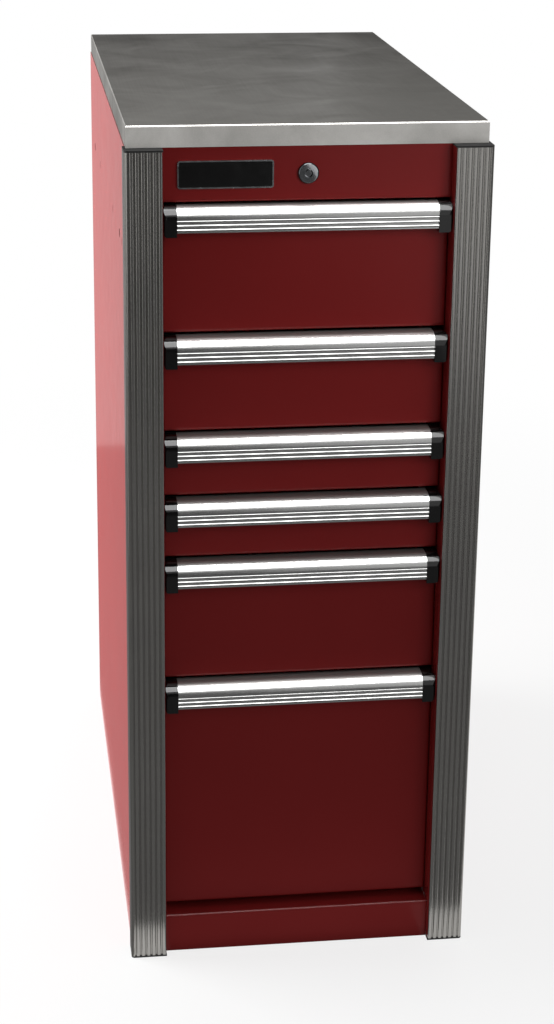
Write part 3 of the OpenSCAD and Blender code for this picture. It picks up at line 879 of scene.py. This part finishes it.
def sheet(name: str, start: Point, end: Point) -> bpy.types.Object:
    """Makes a flat rectangle in the scene.

    Args:
        name: The sheet's name.
        start: One corner.
        end: The opposite corner, which shares one coordinate with the first.

    Returns:
        The sheet.
    """
    (x0, y0, z0), (x1, y1, z1) = start, end
    lying = z0 == z1
    second, fourth = ((x1, y0, z0), (x0, y1, z0)) if lying else ((x0, y0, z1), (x1, y1, z0))
    mesh = bpy.data.meshes.new(name)
    mesh.from_pydata([start, second, end, fourth], [], [(0, 1, 2, 3)])
    made = bpy.data.objects.new(name, mesh)
    bpy.context.scene.collection.objects.link(made)
    return made


@dataclass(frozen=True)
class Card:
    """A card that glows at a fixed grey, lit by no lamp, and shapes the reflections and the
    bounce on the object.

    The camera does not see it, and its back is clear, so that it leaves the floor as it is.
    """

    name: str
    start: Point
    end: Point
    grey: str
    mirrored: bool = True

    def build(self) -> None:
        """Sets up the card."""
        made = sheet(self.name, self.start, self.end)
        face = blank_material(self.name)
        tree = face.node_tree
        # The card glows at its own grey instead of being lit.
        plain = add_node(tree, "ShaderNodeEmission", {"Color": linear(self.grey), "Strength": 1.0})
        clear = add_node(tree, "ShaderNodeBsdfTransparent")
        back = add_node(tree, "ShaderNodeNewGeometry").outputs["Backfacing"]
        both = add_node(tree, "ShaderNodeMixShader",
                        {0: back, 1: plain.outputs[0], 2: clear.outputs[0]})
        add_node(tree, "ShaderNodeOutputMaterial", {"Surface": both.outputs[0]})
        made.data.materials.append(face)
        made.visible_camera = made.visible_shadow = False
        made.visible_glossy = self.mirrored


# Heights of the cards that lie on the floor, and the lines where those in front of the object meet.
CARD_Z = 0.5 * MM
BOUNCE_Z = 1.0 * MM
NEAR_Y, FAR_Y = -2.6, -5.7
SPLIT_X, END_X = 0.76, 1.7


@dataclass
class Studio:
    """White studio: a pale floor, a white surround, glowing grey cards and soft lamps."""

    floor_half: float = 8.0
    floor_z: float = -0.5 * MM
    floor_grey: str = "#f4f4f4"
    clear_m: Span = (0.5, 2.2)
    clear_share: Span = (0.8, 1.0)
    white: str = "#ffffff"
    fill: float = 0.14
    lamps: tuple[Softbox, ...] = (
        Softbox("top_glare", (0.1, -2.0, 3.0), (0.1, -1.99, 0.0), (2.0, 3.2), 165.0,
                lighting=False),
        Softbox("front_right", (1.2, -2.9, 1.65), (0.1, -0.38, 0.7), (1.5, 1.4), 10.4,
                mirrored=False),
        Softbox("upper_right", (0.45, -0.95, 1.15), (0.16, -0.38, 0.9), (0.5, 0.5), 0.24,
                mirrored=False, spread_deg=64.0),
        Softbox("back_strip", (0.53, 2.9, 1.4), (0.1, 0.2, 1.04), (0.07, 0.6), 0.3,
                lighting=False),
        Softbox("left_side", (-2.4, 0.7, 0.62), (0.0, 0.1, 0.45), (1.8, 1.2), 178.0,
                mirrored=False),
        Softbox("overhead", (0.0, 0.3, 2.9), (0.0, 0.2, 1.0), (2.0, 2.0), 40.0),
    )
    cards: tuple[Card, ...] = (
        Card("front_card", (-0.3, NEAR_Y, CARD_Z), (2.2, -0.45, CARD_Z), "#7c7c7c"),
        Card("kick_card", (-0.16, -0.45, CARD_Z), (0.16, -0.34, CARD_Z), "#7c7c7c"),
        # A glowing sheet that brightens the kick panel as a bounce would: painted light.
        Card("kick_bounce", (-0.35, -0.535, BOUNCE_Z), (0.35, -0.385, BOUNCE_Z), "#cacaca",
             mirrored=False),
        Card("near_front_card", (-1.6, -0.85, CARD_Z), (-0.22, -0.4, CARD_Z), "#7c7c7c"),
        Card("left_front_card", (-6.0, NEAR_Y, CARD_Z), (-0.3, -0.85, CARD_Z), "#707070"),
        Card("far_front_card", (-2.0, FAR_Y, CARD_Z), (SPLIT_X, NEAR_Y, CARD_Z), "#585858"),
        Card("far_right_card", (SPLIT_X, FAR_Y, CARD_Z), (END_X, NEAR_Y, CARD_Z), "#e4e4e4"),
        Card("right_end_card", (END_X, FAR_Y, CARD_Z), (6.0, NEAR_Y, CARD_Z), "#585858"),
        Card("front_left_card", (-2.0, FAR_Y, 0.0), (SPLIT_X, FAR_Y, 2.6), "#303030"),
        Card("right_card", (1.6, -2.0, 0.0), (1.6, 1.5, 2.4), "#747474"),
        Card("back_right_card", (3.0, 3.0, 0.0), (0.6, 3.0, 3.0), "#b4b4b4"),
        Card("near_left_card", (-3.0, -0.4, CARD_Z), (-0.21, 1.6, CARD_Z), "#8c8c8c"),
        Card("far_left_card", (-7.5, 1.6, CARD_Z), (-0.21, 7.5, CARD_Z), "#b6b6b6"),
    )

    def seen(self, tree: Tree) -> Socket:
        """Adds the test for a ray from the camera, off metal or through glass.

        Args:
            tree: The tree that takes the nodes.

        Returns:
            A socket that is 1 for those rays.
        """
        path = add_node(tree, "ShaderNodeLightPath").outputs
        first = add_node(tree, "ShaderNodeMath",
                         {0: path["Is Camera Ray"], 1: path["Is Glossy Ray"]})
        either = add_node(tree, "ShaderNodeMath",
                          {0: first.outputs[0], 1: path["Is Transmission Ray"]}, use_clamp=True)
        return either.outputs[0]

    def surround(self) -> None:
        """Makes the world: white where it is seen, and a soft fill elsewhere."""
        world = bpy.data.worlds.new("white_surround")
        world.use_nodes = True
        tree = world.node_tree
        tree.nodes.clear()
        fill, white = [add_node(tree, "ShaderNodeBackground",
                                {"Color": linear(self.white), "Strength": strength})
                       for strength in (self.fill, 1.0)]
        both = add_node(tree, "ShaderNodeMixShader",
                        {0: self.seen(tree), 1: fill.outputs[0], 2: white.outputs[0]})
        add_node(tree, "ShaderNodeOutputWorld", {"Surface": both.outputs[0]})
        bpy.context.scene.world = world

    def floor(self) -> None:
        """Lays the pale floor, plain white away from the object, which keeps the shadow."""
        half = self.floor_half
        made = sheet("floor", (-half, -half, self.floor_z), (half, half, self.floor_z))
        paint = blank_material("pale_floor")
        tree = paint.node_tree
        place = add_node(tree, "ShaderNodeTexCoord").outputs["Object"]
        away = add_node(tree, "ShaderNodeVectorMath", {0: place}, operation="LENGTH")
        clear = remap(tree, away.outputs["Value"], self.clear_m, self.clear_share,
                      interpolation_type="SMOOTHSTEP")
        share = multiply(tree, clear, self.seen(tree))
        matt = add_node(tree, "ShaderNodeBsdfDiffuse", {"Color": linear(self.floor_grey)})
        white = add_node(tree, "ShaderNodeEmission", {"Color": linear(self.white), "Strength": 1.0})
        both = add_node(tree, "ShaderNodeMixShader",
                        {0: share, 1: matt.outputs[0], 2: white.outputs[0]})
        add_node(tree, "ShaderNodeOutputMaterial", {"Surface": both.outputs[0]})
        made.data.materials.append(paint)

    def build(self) -> None:
        """Sets up the surround, the floor, the cards and the lamps."""
        self.surround()
        self.floor()
        for prop in (*self.cards, *self.lamps):
            prop.build()


@dataclass
class PhotoCamera:
    """Camera at the photograph's viewpoint, for a picture of 554 by 1024."""

    place: Point = (-0.3548, -2.6753, 1.4585)
    turn_deg: Point = (72.488, -0.461, -7.048)
    lens_mm: float = 74.02
    sensor_mm: float = 36.0
    shift: Span = (0.0251, -0.1117)

    def build(self) -> None:
        """Makes the camera and hands it to the scene."""
        data = bpy.data.cameras.new("photo_camera")
        data.sensor_width = self.sensor_mm
        data.lens = self.lens_mm
        data.shift_x, data.shift_y = self.shift
        camera = bpy.data.objects.new("photo_camera", data)
        camera.location = self.place
        camera.rotation_euler = [math.radians(angle) for angle in self.turn_deg]
        bpy.context.scene.collection.objects.link(camera)
        bpy.context.scene.camera = camera


def main() -> None:
    """Builds the cabinet's looks, the studio and the camera."""
    logging.basicConfig(level=logging.INFO, format="%(name)s: %(message)s")
    bpy.context.scene.view_settings.view_transform = "Standard"
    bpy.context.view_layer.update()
    Carcass().build()
    for number in range(1, DRAWERS + 1):
        Drawer(number).build()
    Lock().build()
    Badge().build()
    Studio().build()
    PhotoCamera().build()


if __name__ == "__main__":
    main()
